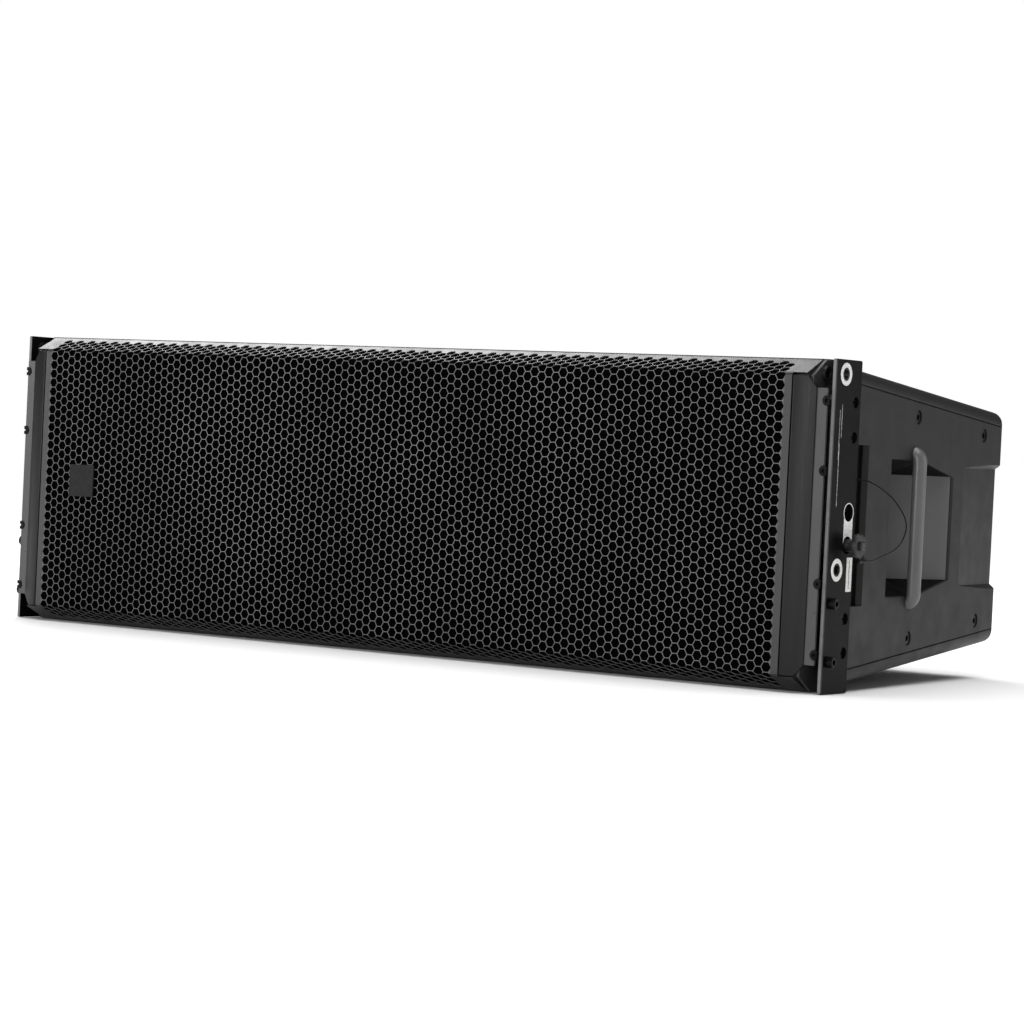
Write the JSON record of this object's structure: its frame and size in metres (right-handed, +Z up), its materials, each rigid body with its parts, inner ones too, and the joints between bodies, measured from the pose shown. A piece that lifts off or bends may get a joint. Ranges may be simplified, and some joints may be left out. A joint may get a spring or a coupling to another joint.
{
  "type": "line array loudspeaker",
  "caption": "Wide tapered line array loudspeaker cabinet with a honeycomb grille, side rigging plates, sliding links, quick-release pins and recessed bar handles.",
  "frame": {"origin": "middle of the footprint, level with the lower ends of the rigging plates", "axes": "+X along the cabinet's width to the right seen from the front, +Y from the grille to the rear, +Z up"},
  "size_m": [1.19, 0.491, 0.35],
  "materials": {
    "cabinet_paint": "sprayed textured black paint on birch ply",
    "frame_paint": "satin black paint",
    "inner_ply": "black-stained ply",
    "grille_steel": "powder-coated black",
    "foam": "open-cell acoustic foam",
    "badge_plate": "blank dark grey plate",
    "cap_aluminium": "brushed, black anodised",
    "rigging_steel": "smooth satin black",
    "link_steel": "zinc-plated and blackened",
    "bush_steel": "bright flanged bush",
    "fastener_black": "black oxide",
    "pin_steel": "stainless",
    "button_plastic": "black moulded",
    "wire": "black coated wire rope",
    "handle_cup_paint": "satin dark grey",
    "handle_bar_paint": "satin black tube",
    "driver_frame": "cast, painted black",
    "cone_paper": "treated paper and carbon",
    "surround_rubber": "half-roll",
    "magnet": "ferrite and steel",
    "horn_plastic": "moulded",
    "circuit_board": "glass-epoxy board",
    "coil_copper": "enamelled wire",
    "socket_plastic": "moulded"
  },
  "bodies": {
    "root": {"top_panel": "cabinet_paint", "bottom_panel": "cabinet_paint", "side_panel_right": "cabinet_paint", "side_panel_left": "cabinet_paint", "back_panel": "cabinet_paint", "front_frame": "frame_paint", "front_baffle": "inner_ply", "partitions": "inner_ply", "grille": "grille_steel", "grille_foam": "foam", "badge": "badge_plate", "end_cap_right": "cap_aluminium", "end_cap_left": "cap_aluminium", "rigging_plate_right": "rigging_steel", "rigging_plate_left": "rigging_steel", "rigging_channel_right": "rigging_steel", "rigging_channel_left": "rigging_steel", "link_guide_right": "rigging_steel", "link_guide_left": "rigging_steel", "bore_bushes": "bush_steel", "plate_screws": "fastener_black", "plate_studs": "fastener_black", "flange_screws": "fastener_black", "lanyard": "wire", "lanyard_anchor": "fastener_black", "handle_cup_right": "handle_cup_paint", "handle_cup_left": "handle_cup_paint", "handle_bar_right": "handle_bar_paint", "handle_bar_left": "handle_bar_paint", "handle_bolts": "fastener_black", "side_screws": "fastener_black", "woofer_frames": "driver_frame", "woofer_surrounds": "surround_rubber", "woofer_motors": "magnet", "mid_frames": "driver_frame", "mid_surrounds": "surround_rubber", "mid_motors": "magnet", "driver_screws": "fastener_black", "waveguide": "horn_plastic", "hf_drivers": "magnet", "crossover_board": "circuit_board", "crossover_parts": "coil_copper", "rear_pan": "rigging_steel", "rear_bracket": "rigging_steel", "rear_pivot_bolt": "fastener_black", "input_plate": "rigging_steel", "input_sockets": "socket_plastic", "rear_grip_cups": "rigging_steel"},
    "front_link_right": {"front_link_right": "link_steel"},
    "front_link_left": {"front_link_left": "link_steel"},
    "quick_pin_right": {"quick_pin_right": "pin_steel", "lanyard_ferrule": "fastener_black"},
    "quick_pin_left": {"quick_pin_left": "pin_steel"},
    "pin_button_right": {"pin_button_right": "button_plastic"},
    "pin_button_left": {"pin_button_left": "button_plastic"},
    "rear_link": {"rear_link": "link_steel"},
    "rear_pin": {"rear_pin": "pin_steel"},
    "rear_pin_button": {"rear_pin_button": "button_plastic"},
    "woofer_cones": {"woofer_cones": "cone_paper"},
    "mid_cones": {"mid_cones": "cone_paper"}
  },
  "joints": [
    {"name": "front_link_right_slide", "type": "slide", "parent": "root", "child": "front_link_right", "axis": [0, 0, 1], "range_m": [0, 0.1795]},
    {"name": "front_link_left_slide", "type": "slide", "parent": "root", "child": "front_link_left", "axis": [0, 0, 1], "range_m": [0, 0.1795]},
    {"name": "quick_pin_right_pull", "type": "slide", "parent": "root", "child": "quick_pin_right", "axis": [1, 0, 0], "range_m": [0, 0.04]},
    {"name": "quick_pin_left_pull", "type": "slide", "parent": "root", "child": "quick_pin_left", "axis": [-1, 0, 0], "range_m": [0, 0.04]},
    {"name": "pin_button_right_press", "type": "slide", "parent": "quick_pin_right", "child": "pin_button_right", "axis": [-1, 0, 0], "range_m": [0, 0.002], "stiffness_N_per_m": 1500},
    {"name": "pin_button_left_press", "type": "slide", "parent": "quick_pin_left", "child": "pin_button_left", "axis": [1, 0, 0], "range_m": [0, 0.002], "stiffness_N_per_m": 1500},
    {"name": "rear_link_swing", "type": "hinge", "parent": "root", "child": "rear_link", "pos_m": [0, 0.2165, 0.27], "axis": [1, 0, 0], "range_deg": [0, 180]},
    {"name": "rear_pin_pull", "type": "slide", "parent": "root", "child": "rear_pin", "axis": [1, 0, 0], "range_m": [0, 0.03]},
    {"name": "rear_pin_button_press", "type": "slide", "parent": "rear_pin", "child": "rear_pin_button", "axis": [-1, 0, 0], "range_m": [0, 0.002], "stiffness_N_per_m": 1500},
    {"name": "woofer_cones_travel", "type": "slide", "parent": "root", "child": "woofer_cones", "axis": [0, -1, 0], "range_m": [-0.006, 0.006], "stiffness_N_per_m": 5000},
    {"name": "mid_cones_travel", "type": "slide", "parent": "root", "child": "mid_cones", "axis": [0, -1, 0], "range_m": [-0.002, 0.002], "stiffness_N_per_m": 4000}
  ]
}
